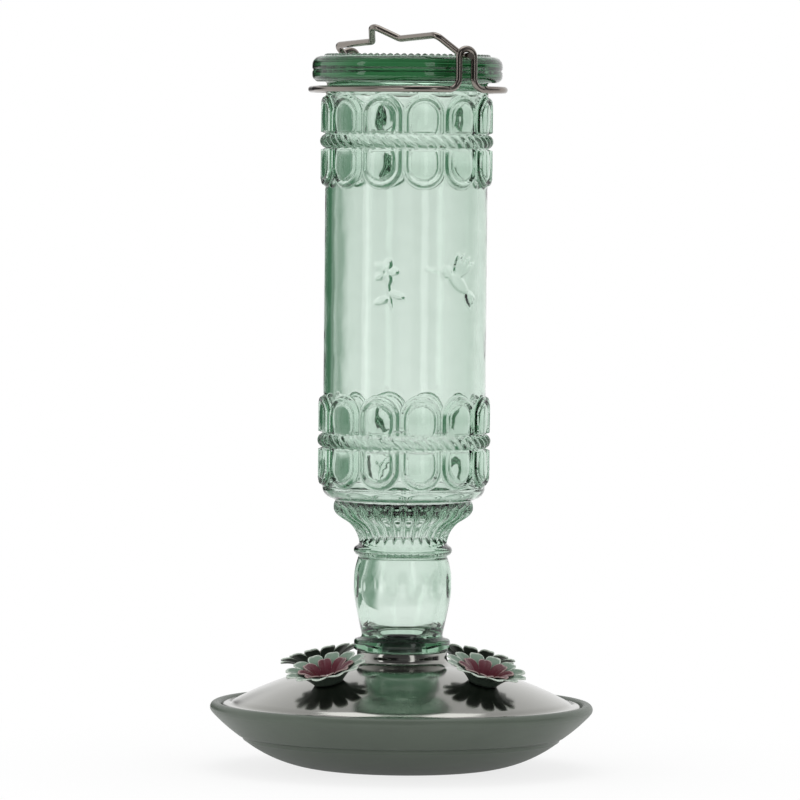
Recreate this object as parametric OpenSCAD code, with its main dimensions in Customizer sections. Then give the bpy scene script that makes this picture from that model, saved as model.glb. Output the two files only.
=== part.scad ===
// Hummingbird feeder: a pressed glass bottle hung upside down over a round tray with four flowers.
// Millimetres, +Z up, origin at the centre of the tray's foot.

/* [Tray] */
// Width across the rolled rim
tray_w = 133; // [128:1:140]
// Height of the top of the rim above the foot
tray_h = 22.9; // [21:0.1:25]
// Width of the flat foot
foot_w = 52; // [42:1:62]
// Radial width of the sloping brim and its rolled bead
brim_w = 12; // [10:0.5:14]
// Height where the bowl meets the brim
bowl_h = 9.5; // [8:0.1:10.5]
// Thickness of the tray's sheet
tray_sheet = 1; // [0.7:0.1:1.2]
// Diameter of the rolled bead
bead_d = 4; // [3.4:0.1:4.6]

/* [Cover] */
// Thickness of the cover's sheet
cover_sheet = 0.8; // [0.5:0.1:1.1]
// Radius of the dome's sphere
dome_r = 125; // [110:1:150]
// Width of the flat ledge round the dome
ledge_w = 3.9; // [3:0.1:5]
// Height of the step from the ledge up to the dome
ledge_step = 0.7; // [0.4:0.1:1.2]
// Height of the boss above the dome
boss_h = 4.1; // [3:0.1:6]
// Radius of the fillet at the boss's foot
boss_fillet = 2.2; // [1:0.1:3]

/* [Socket and seal] */
// Radial room for the thread between the bottle's finish and the socket
thread_room = 1.3; // [1.2:0.05:1.5]
// Wall of the socket round the bottle's finish
socket_wall = 1.45; // [1.2:0.05:2]
// Thickness of the socket's floor
socket_floor = 1.8; // [1.2:0.1:3]
// Room round the feed tube in the bottle's mouth
tube_room = 1.6; // [0.8:0.1:2.5]
// Wall of the feed tube
tube_wall = 1.5; // [1:0.1:2.5]
// Height of the feed tube's lower end above the tray
tube_gap = 8; // [4:0.5:14]
// Thickness of the seal ring
seal_t = 1.6; // [1:0.1:2.5]

/* [Bottle neck] */
// Width of the threaded finish at the thread's root
finish_w = 23.8; // [22.6:0.1:24]
// Length of the finish below the ring
finish_h = 10.4; // [8:0.1:11]
// Width of the bottle's mouth
mouth_w = 17.2; // [16.6:0.1:18.4]
// Width of the ring above the finish
ring_w = 33.4; // [31:0.1:36]
// Height of the ring above the finish
ring_h = 4.1; // [3:0.1:6]
// Width of the neck just above the ring
neck_w = 28; // [26:0.1:30]
// Width of the bulb in the neck
bulb_w = 34.4; // [32:0.1:38]
// Height of the bulb from the ring to the bead
bulb_h = 29; // [24:0.5:36]
// Width of the bead between bulb and bowl
bead_w = 34.2; // [32.6:0.1:38]
// Height of the bead between bulb and bowl
bead_h = 3.4; // [2.4:0.1:5]
// Width of the waist above the bead
waist_w = 30.2; // [28:0.1:31]

/* [Bottle body] */
// Width of the fluted bowl
bowl_top_w = 48.4; // [44:0.1:52]
// Height of the fluted bowl
bowl_rise = 15.6; // [13:0.1:20]
// Number of flutes round the bowl
flutes = 28; // [16:1:36]
// Height of the rounded shoulder over the bowl
shoulder_h = 4.2; // [3.4:0.1:7]
// Width of the plain wall of the body
body_w = 56.3; // [54:0.1:57.4]
// Height of the plain wall between the bands
plain_h = 70.4; // [50:0.1:100]
// Height of each band of ornament
band_h = 33.2; // [30:0.1:38]
// Height of the bands' ornament above the plain wall
band_t = 1.65; // [1.2:0.05:2.2]
// Thickness of the glass in the body's wall
glass_t = 3.2; // [2.6:0.1:4]
// Height of the groove that the wire collar grips
groove_h = 3.8; // [3:0.1:6]
// Thickness of the glass between the hollow and the dished top
roof_t = 4; // [3:0.1:6]
// How far the thick flange at the top stands out past the plain wall
flange_out = 4.85; // [4:0.05:6]
// Height of the flange
flange_h = 9; // [7:0.1:11]
// Depth of the hollow in the flange's top
push_up = 2.8; // [1:0.1:3.4]

/* [Band ornament] */
// Arched panels round each row
arches = 12; // [8:1:14]
// Direction of the first panel's centre, in degrees from +X
arch_turn = 12; // [0:1:30]
// Width of the raised line round a panel
arch_line = 1.5; // [1:0.1:2]
// Width of the gap between neighbouring panels
arch_gap = 0.9; // [0.6:0.1:2]
// Height of the rope between the rows
rope_h = 4.5; // [3.6:0.1:5.4]
// Strands of the rope to each panel
strands = 4; // [2:1:5]
// Height of the raised bird and plant above the plain wall
relief_t = 0.6; // [0.3:0.1:0.8]

/* [Wire] */
// Diameter of the wire
wire_d = 2.3; // [1.9:0.1:2.5]
// Direction of the front ear, in degrees from +X
ear_turn = -57; // [-90:1:0]
// Gap between the flange and each ear's wire
ear_gap = 2.75; // [2.4:0.05:4]
// Height of the bail's front end below the flange's top, to the wire's underside
pivot_drop = 1.3; // [0.5:0.1:2]
// Room in an ear beside the bail's wire
ear_room = 1.5; // [1:0.1:2]
// Length of the bail's arms
arm_l = 11.4; // [10.6:0.1:16]
// How far each corner of the bail's crossbar sits inside its ear
bail_inset = 5.3; // [4.4:0.1:6.5]
// Lean of the bail from upright, in degrees
bail_lean = 49.5; // [30:0.5:52]
// How far the bail's back end sits lower than its front end
bail_drop = 3.5; // [0:0.1:4]
// Half the width of the hook bend in the crossbar
hook_half = 8.8; // [7:0.1:12]
// Height of the hook bend above the crossbar
hook_h = 6.5; // [5:0.1:10]

/* [Flowers] */
// Direction of the first flower, in degrees from +X
flower_turn = -42; // [-60:1:-30]
// Distance of each flower from the axis
flower_reach = 37.4; // [36:0.1:40]
// Width across the outer petals
petal_w = 28.4; // [25:0.1:30]
// Height of the outer petals' tips above the cover
petal_h = 6.2; // [4:0.1:8]
// Petals in the outer cup
outer_petals_n = 12; // [8:1:12]
// Petals in the inner cup
inner_petals_n = 8; // [6:1:10]
// Width across the inner petals
inner_w = 19.6; // [16:0.1:22]
// Thickness of the petals' sheet
petal_sheet = 0.5; // [0.4:0.05:0.7]
// Diameter of the feeding hole
feed_hole = 3; // [2.6:0.1:3.4]
// Wall of the eyelet
eyelet_wall = 0.5; // [0.4:0.05:0.7]

/* [Fits] */
// Gap between pieces that seat on each other
seat = 0.15; // [0.1:0.05:0.25]
// Gap under the bottle, where it screws down
screw_seat = 0.3; // [0.2:0.05:0.4]

/* [Hidden] */
flower_ids = [1, 2, 3, 4];
$fn = 64;
eps = 0.01;

rim_r = tray_w / 2;
bead_r = bead_d / 2;
foot_r = foot_w / 2;
bowl_r = rim_r - brim_w;
// The bowl is an arc that leaves the flat foot without a corner
bowl_arc_r = (pow(bowl_r - foot_r, 2) + pow(bowl_h, 2)) / (2 * bowl_h);
bowl_arc_end = asin((bowl_r - foot_r) / bowl_arc_r);
// The brim starts past a pressed groove and ends under the bead
brim_start = [bowl_r + 2.1, bowl_h + 1.8];
bead_c = [rim_r - bead_r, tray_h - bead_r];
brim_end = bead_c + bead_r * [0.6, -0.8];
brim_slope = atan2(brim_end[1] - brim_start[1], brim_end[0] - brim_start[0]);
brim_normal = tray_sheet * [-sin(brim_slope), cos(brim_slope)];

// The boss fits round the socket, and the socket round the bottle's finish
finish_r = finish_w / 2;
socket_bore_r = finish_r + thread_room;
socket_r = socket_bore_r + socket_wall;

// The cover stands on the brim inside the bead
cover_r = rim_r - bead_d - seat;
cover_foot_z = brim_inside(cover_r) + seat;
ledge_z = tray_h - 0.5;
dome_edge_r = cover_r - ledge_w;
dome_edge_z = ledge_z + ledge_step;
dome_z0 = dome_edge_z - sqrt(pow(dome_r, 2) - pow(dome_edge_r, 2));
boss_r = socket_r + seat + cover_sheet;
boss_top = dome_z(boss_r) + boss_h;

// The bottle's ring sits just over the boss and its finish goes down into the socket
bottle_z = boss_top + screw_seat;
mouth_r = mouth_w / 2;
lip_z = bottle_z - finish_h;
seal_z = lip_z - screw_seat - seal_t;
floor_z = seal_z - seat - socket_floor;
tube_r = mouth_r - tube_room;
tube_top = bottle_z + ring_h - 0.8;
// The socket clips under the dome with a thin edge
clip_w = 2.4;
clip_t = 1.6;
clip_z = dome_z(socket_r + clip_w) - 1.1 * cover_sheet - seat;

ring_top = bottle_z + ring_h;
bead_z = ring_top + bulb_h;
waist_z = bead_z + bead_h;
waist_r = waist_w / 2;
bowl_top_z = waist_z + bowl_rise;
bowl_top_r = bowl_top_w / 2;
low_band_z = bowl_top_z + shoulder_h;
plain_z = low_band_z + band_h;
high_band_z = plain_z + plain_h;
groove_z = high_band_z + band_h;
flange_z = groove_z + groove_h;
bottle_top = flange_z + flange_h;
body_r = body_w / 2;
band_r = body_r + band_t;
flange_r = body_r + flange_out;
cavity_r = body_r - glass_t;
cavity_top = bottle_top - push_up - roof_t;
// Fillets of the flange and of the hollow, and the dished top inside the bumps
flange_top_r = 3.2;
flange_foot_r = 2.4;
cavity_edge_r = 7;
dish_edge = 2.4;
dish_side = 6;
dish_foot = 10;
knurl_r = 0.8;
knurl_pitch = 2.36;
knurl_ring_r = flange_r - 5;
knurls = floor(2 * PI * knurl_ring_r / knurl_pitch);

arch_w = 2 * band_r * sin(180 / arches) - arch_gap;
arch_h = (band_h - rope_h) / 2 - 0.9;
pad_foot = arch_line * 0.7 + 0.6;
pad_w = arch_w - 2 * arch_line - 1.3;
pad_h = arch_h - 1.7 * arch_line - 1.2;
pad_dome_r = 14;

wire_r = wire_d / 2;
groove_r = body_r - 0.25;
hoop_half = groove_r + wire_r + seat;
hoop_z = groove_z + wire_r + seat;
ear_half = wire_r + (wire_d + ear_room) / 2;
ear_reach = flange_r + ear_gap + wire_r;
pivot_z = bottle_top - pivot_drop + wire_r;
ear_h = pivot_z + wire_d + seat - hoop_z;
bar_half = ear_reach - bail_inset;
ear_bend = 4;
// A bend is thicker than the straight wire by a hair, so that each straight ends inside it
swell = 0.01;
bite = 0.05;
hoop_side = ear_half + ear_bend;
hoop_slope = 25;
hoop_tight_r = 14;
hoop_wide_r = 50;
hoop_peak = hoop_half + hoop_wide_r * (1 / cos(hoop_slope) - 1);
hoop_shoulder = hoop_peak - ear_reach * tan(hoop_slope);
bail_tip = ear_reach + 2.6;
bail_corner = ear_reach - 0.87 * wire_d;
bail_tilt = asin(bail_drop / (2 * ear_reach));

feed_r = feed_hole / 2;
eyelet_r = feed_r + eyelet_wall;
eyelet_lip = 0.9;
// Flat bottoms of the two cups, under the eyelet's lip
inner_hub = eyelet_r + eyelet_lip + 0.6;
outer_hub = inner_hub + 1.5;
flower_lean = asin(flower_reach / dome_r);

function dome_z(r) = dome_z0 + sqrt(pow(dome_r, 2) - pow(r, 2));
function brim_inside(r) = let (p = brim_start + brim_normal)
    p[1] + (r - p[0]) * (bead_c[1] - p[1]) / (bead_c[0] - p[0]);
// Points of a curve from a to c that heads for b, without a itself
function curve(a, b, c, n = 4) =
    [for (i = [1 : n]) let (t = i / n) pow(1 - t, 2) * a + 2 * t * (1 - t) * b + pow(t, 2) * c];
// Points of an arc from angle a to angle b
function arc(c, r, a, b, n = 6) =
    [for (i = [0 : n]) let (t = a + (b - a) * i / n) c + r * [cos(t), sin(t)]];
function unit(v) = v / norm(v);

module tray() {
    bowl_c = [foot_r, bowl_arc_r];
    outside = concat(
        arc(bowl_c, bowl_arc_r, -90, bowl_arc_end - 90, 8),
        [[bowl_r + 0.6, bowl_h + 0.7], [bowl_r + 0.5, bowl_h + 1.4], brim_start],
        curve(brim_start, (brim_start + brim_end) / 2 + [0.5, -0.4], brim_end));
    inside = concat(
        [bead_c, brim_start + brim_normal],
        arc(bowl_c, bowl_arc_r - tray_sheet, bowl_arc_end - 90, -90, 8));
    color([0.36, 0.41, 0.36]) rotate_extrude() {
        polygon(concat([[0, 0]], outside, inside, [[0, tray_sheet]]));
        translate(bead_c) circle(bead_r);
    }
}

// One half of the cover's section: its outside, or its inside when t is the sheet's thickness
function cover_line(t) = concat(
    [[cover_r - t, cover_foot_z]],
    arc([cover_r - 1.2, ledge_z - 1.2], 1.2 - t, 0, 90, 3),
    [[dome_edge_r + 0.6, ledge_z - t], [dome_edge_r, dome_edge_z - t]],
    [for (i = [1 : 8]) let (r = dome_edge_r + (boss_r + boss_fillet - dome_edge_r) * i / 8)
        [r, dome_z(r) - t]],
    arc([boss_r + boss_fillet, dome_z(boss_r) + boss_fillet], boss_fillet + t, 250, 180, 4),
    [[boss_r - t, boss_top]]);

module cover() {
    outside = cover_line(0);
    inside = cover_line(cover_sheet);
    n = len(inside);
    color([0.36, 0.36, 0.35]) difference() {
        rotate_extrude() polygon(concat(outside, [for (i = [1 : n]) inside[n - i]]));
        for (i = flower_ids) at_flower(i) translate([0, 0, -5]) cylinder(r = eyelet_r + seat, h = 8);
    }
}

module socket() {
    color([0.09, 0.09, 0.1]) rotate_extrude() polygon([
        [socket_r, boss_top - seat], [socket_bore_r, boss_top - seat],
        [socket_bore_r, floor_z + socket_floor], [tube_r, floor_z + socket_floor],
        [tube_r, tube_top], [tube_r - tube_wall, tube_top],
        [tube_r - tube_wall, tray_sheet + tube_gap], [tube_r, tray_sheet + tube_gap],
        [tube_r, floor_z], [socket_r, floor_z], [socket_r, clip_z - clip_t],
        [socket_r + clip_w, clip_z - clip_t], [socket_r + clip_w, clip_z], [socket_r, clip_z]]);
}

module seal_ring() {
    color([0.2, 0.2, 0.2]) translate([0, 0, seal_z]) difference() {
        cylinder(r = finish_r + thread_room / 2, h = seal_t);
        translate([0, 0, -1]) cylinder(r = mouth_r + 0.4, h = seal_t + 2);
    }
}

function bottle_outside() = concat(
    [[finish_r - 0.6, lip_z], [finish_r, lip_z + 0.6], [finish_r, bottle_z]],
    [[ring_w / 2 - 0.5, bottle_z], [ring_w / 2, bottle_z + 0.5],
        [ring_w / 2, ring_top - 0.8], [ring_w / 2 - 0.8, ring_top]],
    [[neck_w / 2, ring_top + 1.2]],
    curve([neck_w / 2, ring_top + 1.2], [neck_w / 2 + 1.4, ring_top + 0.25 * bulb_h],
        [bulb_w / 2 - 0.1, ring_top + 0.56 * bulb_h], 5),
    curve([bulb_w / 2 - 0.1, ring_top + 0.56 * bulb_h], [bulb_w / 2 + 0.6, ring_top + 0.72 * bulb_h],
        [waist_r + 0.3, bead_z - 0.3], 6),
    arc([bead_w / 2 - bead_h / 2, bead_z + bead_h / 2], bead_h / 2, -75, 75, 6),
    [[waist_r, waist_z + 0.6], [waist_r, waist_z + 1.6]],
    curve([waist_r, waist_z + 1.6], [waist_r + 0.6, waist_z + 0.4 * bowl_rise],
        [(waist_r + bowl_top_r) / 2 + 0.8, waist_z + 0.56 * bowl_rise], 4),
    curve([(waist_r + bowl_top_r) / 2 + 0.8, waist_z + 0.56 * bowl_rise],
        [bowl_top_r, waist_z + 0.68 * bowl_rise], [bowl_top_r, waist_z + 0.84 * bowl_rise], 4),
    [[bowl_top_r - 0.7, bowl_top_z], [bowl_top_r + 1.4, bowl_top_z + 0.9]],
    curve([bowl_top_r + 1.4, bowl_top_z + 0.9], [body_r - 0.2, bowl_top_z + 1.8],
        [body_r, low_band_z], 4),
    [[body_r, groove_z], [groove_r, groove_z], [groove_r, flange_z]],
    [[flange_r - flange_foot_r * 2 / 3, flange_z]],
    arc([flange_r - flange_foot_r, flange_z + flange_foot_r], flange_foot_r, -60, 0, 3),
    arc([flange_r - flange_top_r, bottle_top - flange_top_r], flange_top_r, 0, 75, 4),
    [[knurl_ring_r - dish_edge, bottle_top]],
    curve([knurl_ring_r - dish_edge, bottle_top], [knurl_ring_r - dish_side, bottle_top - push_up],
        [knurl_ring_r - dish_foot, bottle_top - push_up], 3),
    [[0, bottle_top - push_up]]);

function bottle_inside() = concat(
    [[0, cavity_top], [cavity_r - cavity_edge_r, cavity_top]],
    arc([cavity_r - cavity_edge_r, cavity_top - cavity_edge_r], cavity_edge_r, 75, 0, 4),
    curve([cavity_r, low_band_z + 1], [cavity_r, bowl_top_z - 1],
        [bowl_top_r - 4.4, waist_z + 0.84 * bowl_rise], 4),
    curve([bowl_top_r - 4.4, waist_z + 0.84 * bowl_rise], [waist_r - 3.6, waist_z + 0.6 * bowl_rise],
        [waist_r - 3.8, waist_z], 4),
    curve([waist_r - 3.8, bead_z], [bulb_w / 2 - 2.8, ring_top + 0.62 * bulb_h],
        [neck_w / 2 - 3.2, ring_top + 0.12 * bulb_h], 6),
    [[mouth_r, ring_top], [mouth_r, lip_z], [finish_r - 0.6, lip_z]]);

module revolved(points) rotate_extrude($fn = 96) polygon(points);

// Runs its children round the axis, facing outwards, with Y of the drawing as height
module around(n, start, reach) {
    for (i = [0 : n - 1])
        rotate([0, 0, start + i * 360 / n]) translate([reach, 0, 0]) rotate([90, 0, 90]) children();
}

// An arched panel's outline, flat at y = 0 and round at the top
module arch_outline(w, h) {
    translate([-w / 2, 0]) square([w, h - w / 2]);
    translate([0, h - w / 2]) circle(d = w);
}

// A row of arched panels: each a raised line round a domed pad, round end up or down
module arch_row(z, way) {
    foot_z = z + way * (rope_h / 2 + 0.4);
    intersection() {
        around(arches, arch_turn, body_r - 1.4) translate([0, foot_z]) upright(way)
            linear_extrude(band_r - body_r + 4) difference() {
                arch_outline(arch_w, arch_h);
                translate([0, arch_line * 0.7])
                    arch_outline(arch_w - 2 * arch_line, arch_h - 1.7 * arch_line);
            }
        translate([0, 0, z - band_h]) cylinder(r = band_r, h = 2 * band_h);
    }
    around(arches, arch_turn, body_r - 1.2) translate([0, foot_z]) upright(way) intersection() {
        translate([0, pad_foot]) linear_extrude(band_r - body_r + 4) arch_outline(pad_w, pad_h);
        translate([0, pad_foot + pad_h / 2, band_r - body_r + 1 - pad_dome_r])
            sphere(r = pad_dome_r, $fn = 96);
    }
}

module upright(way) {
    if (way > 0) children();
    else mirror([0, 1, 0]) children();
}

module rope(z) {
    lift = band_r + 0.25 - body_r;
    r = (pow(lift, 2) + pow(rope_h / 2, 2)) / (2 * lift);
    difference() {
        translate([0, 0, z]) rotate_extrude($fn = 96) intersection() {
            translate([body_r + lift - r, 0]) circle(r);
            translate([body_r - 1, -rope_h]) square([lift + 2, 2 * rope_h]);
        }
        around(arches * strands, arch_turn, band_r + 0.45) translate([0, z, 0])
            rotate([90, 0, 35]) cylinder(r = 0.6, h = 2 * rope_h, center = true, $fn = 24);
    }
}

// A pointed leaf from the origin along +X
module leaf(l, w) {
    r = (pow(l / 2, 2) + pow(w / 2, 2)) / w;
    intersection() {
        translate([l / 2, r - w / 2]) circle(r);
        translate([l / 2, w / 2 - r]) circle(r);
    }
}

module bird() {
    rotate(-38) leaf(12, 4.6);
    circle(1.9);
    rotate(172) leaf(8, 0.9);
    translate([3, -2]) for (a = [28, 44, 60, 76]) rotate(a) leaf(12.5 - a / 20, 2.4);
    translate([8, -6.6]) for (a = [-62, -44, -26]) rotate(a) leaf(6.5, 1.8);
}

module blossom() {
    for (a = [0 : 72 : 288]) rotate(a) leaf(4.6, 2.6);
    rotate(-80) leaf(13, 0.9);
    translate([1, -7]) rotate(-20) leaf(6, 2.2);
    translate([1.4, -9]) rotate(200) leaf(6, 2.2);
}

module raised(turn, z) {
    intersection() {
        rotate([0, 0, turn]) translate([body_r - 1.5, 0, z]) rotate([90, 0, 90])
            linear_extrude(6) children();
        translate([0, 0, z - 30]) cylinder(r = body_r + relief_t, h = 60);
    }
}

module bottle() {
    relief_z = plain_z + 0.6 * plain_h;
    color([0.66, 0.82, 0.72]) union() {
        difference() {
            revolved(concat(bottle_outside(), bottle_inside()));
            flute_cuts();
            neck_panels();
        }
        arch_row(low_band_z + band_h / 2, 1);
        arch_row(low_band_z + band_h / 2, -1);
        rope(low_band_z + band_h / 2);
        arch_row(high_band_z + band_h / 2, 1);
        arch_row(high_band_z + band_h / 2, -1);
        rope(high_band_z + band_h / 2);
        union() {
            raised(-68, relief_z) bird();
            raised(-104, relief_z) blossom();
        }
        knurl_ring();
    }
}

// The bumps that the bottle would stand on
module knurl_ring() {
    for (i = [0 : knurls - 1]) rotate([0, 0, i * 360 / knurls])
        translate([knurl_ring_r, 0, bottle_top - 0.1]) sphere(r = knurl_r, $fn = 16);
}

// Straight round cuts down the bowl, deepest half way, which leave thin ribs between them
module flute_cuts() {
    foot = [waist_r + 0.9, waist_z + 0.8];
    top = [bowl_top_r + 0.6, waist_z + 0.78 * bowl_rise];
    lean = atan2(top[0] - foot[0], top[1] - foot[1]);
    for (i = [0 : flutes - 1]) rotate([0, 0, (i + 0.5) * 360 / flutes])
        translate([foot[0] + 0.7, 0, foot[1]]) rotate([0, lean, 0])
            cylinder(r1 = 1.3, r2 = 2.2, h = norm(top - foot), $fn = 32);
}

module neck_panels() {
    translate([0, 0, ring_top + 0.2 * bulb_h]) difference() {
        cylinder(r = bulb_w, h = 0.72 * bulb_h);
        cylinder(r = (bulb_w / 2 - 0.35) / cos(15), h = 2 * bulb_h, center = true, $fn = 12);
    }
}

// A straight length of wire in the XY plane, which ends a hair inside the bend at each end
module wire_run(a, b) {
    if (norm(b - a) > eps) translate(a) rotate([0, 0, atan2(b[1] - a[1], b[0] - a[0])])
        rotate([0, 90, 0]) translate([0, 0, -bite]) cylinder(r = wire_r, h = norm(b - a) + 2 * bite);
}

// A wire bent through the points, with a bend radius at each inner point
module bent_wire(pts, radii) {
    n = len(pts);
    turn = [for (i = [0 : n - 1]) i == 0 || i == n - 1 ? 0
        : let (u = unit(pts[i] - pts[i - 1]), v = unit(pts[i + 1] - pts[i]))
            sign(u[0] * v[1] - u[1] * v[0]) * acos(max(-1, min(1, u * v)))];
    cut = [for (i = [0 : n - 1]) radii[i] * tan(abs(turn[i]) / 2)];
    for (i = [0 : n - 2]) let (u = unit(pts[i + 1] - pts[i]))
        wire_run(pts[i] + cut[i] * u, pts[i + 1] - cut[i + 1] * u);
    for (i = [1 : n - 2]) let (
        u = unit(pts[i] - pts[i - 1]),
        s = sign(turn[i]),
        start = pts[i] - cut[i] * u,
        centre = start + s * radii[i] * [-u[1], u[0]],
        from = atan2(start[1] - centre[1], start[0] - centre[0]))
        translate(centre) rotate([0, 0, s > 0 ? from : from + turn[i]])
            rotate_extrude(angle = abs(turn[i])) translate([radii[i], 0])
                circle(wire_r + swell, $fn = 24);
}

// Half of the hoop: tight bends near the ears and one wide bend against the groove
module half_hoop() {
    translate([0, 0, hoop_z]) bent_wire(
        [[ear_reach, hoop_side], [ear_reach, hoop_shoulder], [0, hoop_peak],
            [-ear_reach, hoop_shoulder], [-ear_reach, hoop_side]],
        [0, hoop_tight_r, hoop_wide_r, hoop_tight_r, 0]);
}

module ear() {
    crest_r = ear_half - 0.2;
    translate([ear_reach, 0, hoop_z]) rotate([90, 0, 90]) bent_wire(
        [[-hoop_side, 0], [-ear_half, 0], [-ear_half, ear_h], [ear_half, ear_h], [ear_half, 0],
            [hoop_side, 0]],
        [0, ear_bend, crest_r, crest_r, ear_bend, 0]);
}

module wire_collar() {
    color([0.45, 0.43, 0.41]) rotate([0, 0, ear_turn]) for (a = [0, 180]) rotate([0, 0, a]) {
        ear();
        half_hoop();
    }
}

module bail() {
    color([0.42, 0.4, 0.38]) rotate([0, 0, ear_turn]) translate([0, 0, pivot_z - bail_drop / 2])
        rotate([0, -bail_tilt, 0]) rotate([90 + bail_lean, 0, 0]) bent_wire(
            [[-bail_tip, 0], [-bail_corner, 0], [-bar_half, arm_l], [-hook_half, arm_l],
                [0, arm_l + hook_h + 1.2], [hook_half, arm_l], [bar_half, arm_l],
                [bail_corner, 0], [bail_tip, 0]],
            [0, 1.6, 3, 2.2, 3.4, 2.2, 3, 1.6, 0]);
}

module at_flower(i) {
    turn = flower_turn + (i - 1) * 360 / len(flower_ids);
    rotate([0, 0, turn]) translate([flower_reach, 0, dome_z(flower_reach)])
        rotate([0, flower_lean, 0]) children();
}

// A cup with petals: a thin turned shell, steep at the hub and flat at the tips, cut to a rosette.
// The shell ends just past the petals, so that they cut right through it.
module petal_cup(n, w, h, base, hub) {
    tip = w / 2;
    petal_r = min(1.04 * tip * sin(180 / n), tip / 3);
    knee = [hub + 0.38 * (tip - hub), 0.9 * h];
    wall = concat([[hub, base]], curve([hub, base], knee, [tip + petal_sheet, h], 5));
    under = [for (p = wall) p + petal_sheet * [0.6, -0.8]];
    m = len(under);
    intersection() {
        rotate_extrude() polygon(concat([[eyelet_r + seat, base]], wall,
            [for (i = [1 : m]) under[m - i]], [[eyelet_r + seat, base - petal_sheet]]));
        linear_extrude(2 * h + 10) {
            circle(tip - petal_r * 1.5);
            for (i = [0 : n - 1]) rotate(i * 360 / n) translate([tip - petal_r, 0]) circle(petal_r);
        }
    }
}

module outer_petals(i) {
    color([0.6, 0.7, 0.6]) at_flower(i)
        petal_cup(outer_petals_n, petal_w, petal_h, seat + petal_sheet, outer_hub);
}

module inner_petals(i) {
    color([0.45, 0.13, 0.2]) at_flower(i)
        petal_cup(inner_petals_n, inner_w, petal_h - 0.3, 2 * seat + 2 * petal_sheet, inner_hub);
}

module feed_eyelet(i) {
    top = 3 * seat + 2 * petal_sheet;
    depth = cover_sheet + seat + 0.5;
    color([0.78, 0.78, 0.76]) at_flower(i) rotate_extrude() polygon([
        [feed_r, -depth - 0.4], [eyelet_r + eyelet_lip, -depth - 0.4],
        [eyelet_r + eyelet_lip, -depth], [eyelet_r, -depth], [eyelet_r, top],
        [eyelet_r + eyelet_lip, top], [eyelet_r + eyelet_lip, top + 0.3],
        [eyelet_r, top + eyelet_wall], [feed_r, top + eyelet_wall]]);
}

tray();
cover();
socket();
seal_ring();
bottle();
wire_collar();
bail();
for (i = flower_ids) {
    outer_petals(i);
    inner_petals(i);
    feed_eyelet(i);
}
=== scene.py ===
"""Hummingbird feeder: a pressed glass bottle over a covered tray with four flowers, in its finishes."""
import math

import bpy
import numpy as np
from mathutils import Matrix, Vector


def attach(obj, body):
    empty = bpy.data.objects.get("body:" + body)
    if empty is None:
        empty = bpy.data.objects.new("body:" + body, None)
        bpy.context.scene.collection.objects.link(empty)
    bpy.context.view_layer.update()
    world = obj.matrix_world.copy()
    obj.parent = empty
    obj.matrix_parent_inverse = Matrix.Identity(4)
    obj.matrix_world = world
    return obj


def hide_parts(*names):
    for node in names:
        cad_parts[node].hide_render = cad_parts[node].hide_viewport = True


bl_info = {
    "name": "Hummingbird Feeder",
    "version": (1, 0, 0),
    "blender": (4, 5, 0),
    "location": "View3D > Sidebar > Feeder",
    "description": "Builds the finished look of a glass hummingbird feeder around its solids",
    "category": "Object",
}

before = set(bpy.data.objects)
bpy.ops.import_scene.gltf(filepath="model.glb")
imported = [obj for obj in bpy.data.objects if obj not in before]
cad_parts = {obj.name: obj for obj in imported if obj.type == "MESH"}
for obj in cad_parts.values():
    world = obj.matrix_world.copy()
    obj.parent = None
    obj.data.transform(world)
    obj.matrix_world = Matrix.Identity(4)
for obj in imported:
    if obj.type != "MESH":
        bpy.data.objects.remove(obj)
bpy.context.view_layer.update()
MM = 0.001

# Tray and cover, in millimetres like all sizes here
RIM_R = 66.5
TRAY_H = 22.9
TRAY_SHEET = 1.0
FOOT_R = 26.0
TRAY_BOWL_R = 54.5
TRAY_BOWL_H = 9.5
BEAD_R = 2.0
COVER_R = RIM_R - 4.15
COVER_SHEET = 0.8
COVER_FOOT_Z = 18.83
COVER_CORNER_R = 1.2
LEDGE_Z = TRAY_H - 0.5
DOME_EDGE_R = COVER_R - 3.9
DOME_EDGE_Z = LEDGE_Z + 0.7
DOME_R = 125.0
BOSS_R = 15.6
BOSS_TOP = 40.73
BOSS_FILLET = 2.2
BOSS_CHAMFER = 0.25

# Bottle
LIP_Z = 30.63
MOUTH_R = 8.6
BOTTLE_Z = 41.03
RING_TOP = 45.13
BULB_R = 17.2
BULB_H = 29.0
BEAD_Z = 74.13
NECK_BEAD_R = 1.7
WAIST_Z = 77.53
WAIST_R = 15.1
BOWL_R = 24.2
BOWL_TOP_Z = 93.13
LOW_BAND_Z = 97.33
BAND_H = 33.2
PLAIN_Z = 130.53
PLAIN_H = 70.4
HIGH_BAND_Z = 200.93
BODY_R = 28.15
GROOVE_Z = 234.13
FLANGE_Z = 237.93
FLANGE_R = 33.0
FLANGE_FOOT_R = 2.4
FLANGE_TOP_R = 3.2
BOTTLE_TOP = 246.93
BUMP_RING_R = 28.0
PUSH_UP = 2.8
CAVITY_R = 24.95
CAVITY_TOP = 240.13
CAVITY_EDGE_R = 7.0

# Ornament on the bottle
PANEL_STEP = 30.0
PANEL_TURN = 12.0
ROPE_STRANDS = 48
FLUTES = 28
FLUTE_DEPTH = 2.0
BUMPS = 74
BIRD_TURN = -60.0
PLANT_TURN = -104.0
FIGURE_H = 0.85

# Wire
HOOP_Z = 235.43
HOOP_HALF = 29.2
WIRE_REACH = 36.9
EAR_TURN = -57.0
BAIL_Z = 245.03
BAIL_LEAN = 49.5
BAIL_DROP = 3.5

# Flowers
FLOWERS = 4
FLOWER_REACH = 37.4
FLOWER_TURN = -42.0
PETAL_SHEET = 0.45

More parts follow.
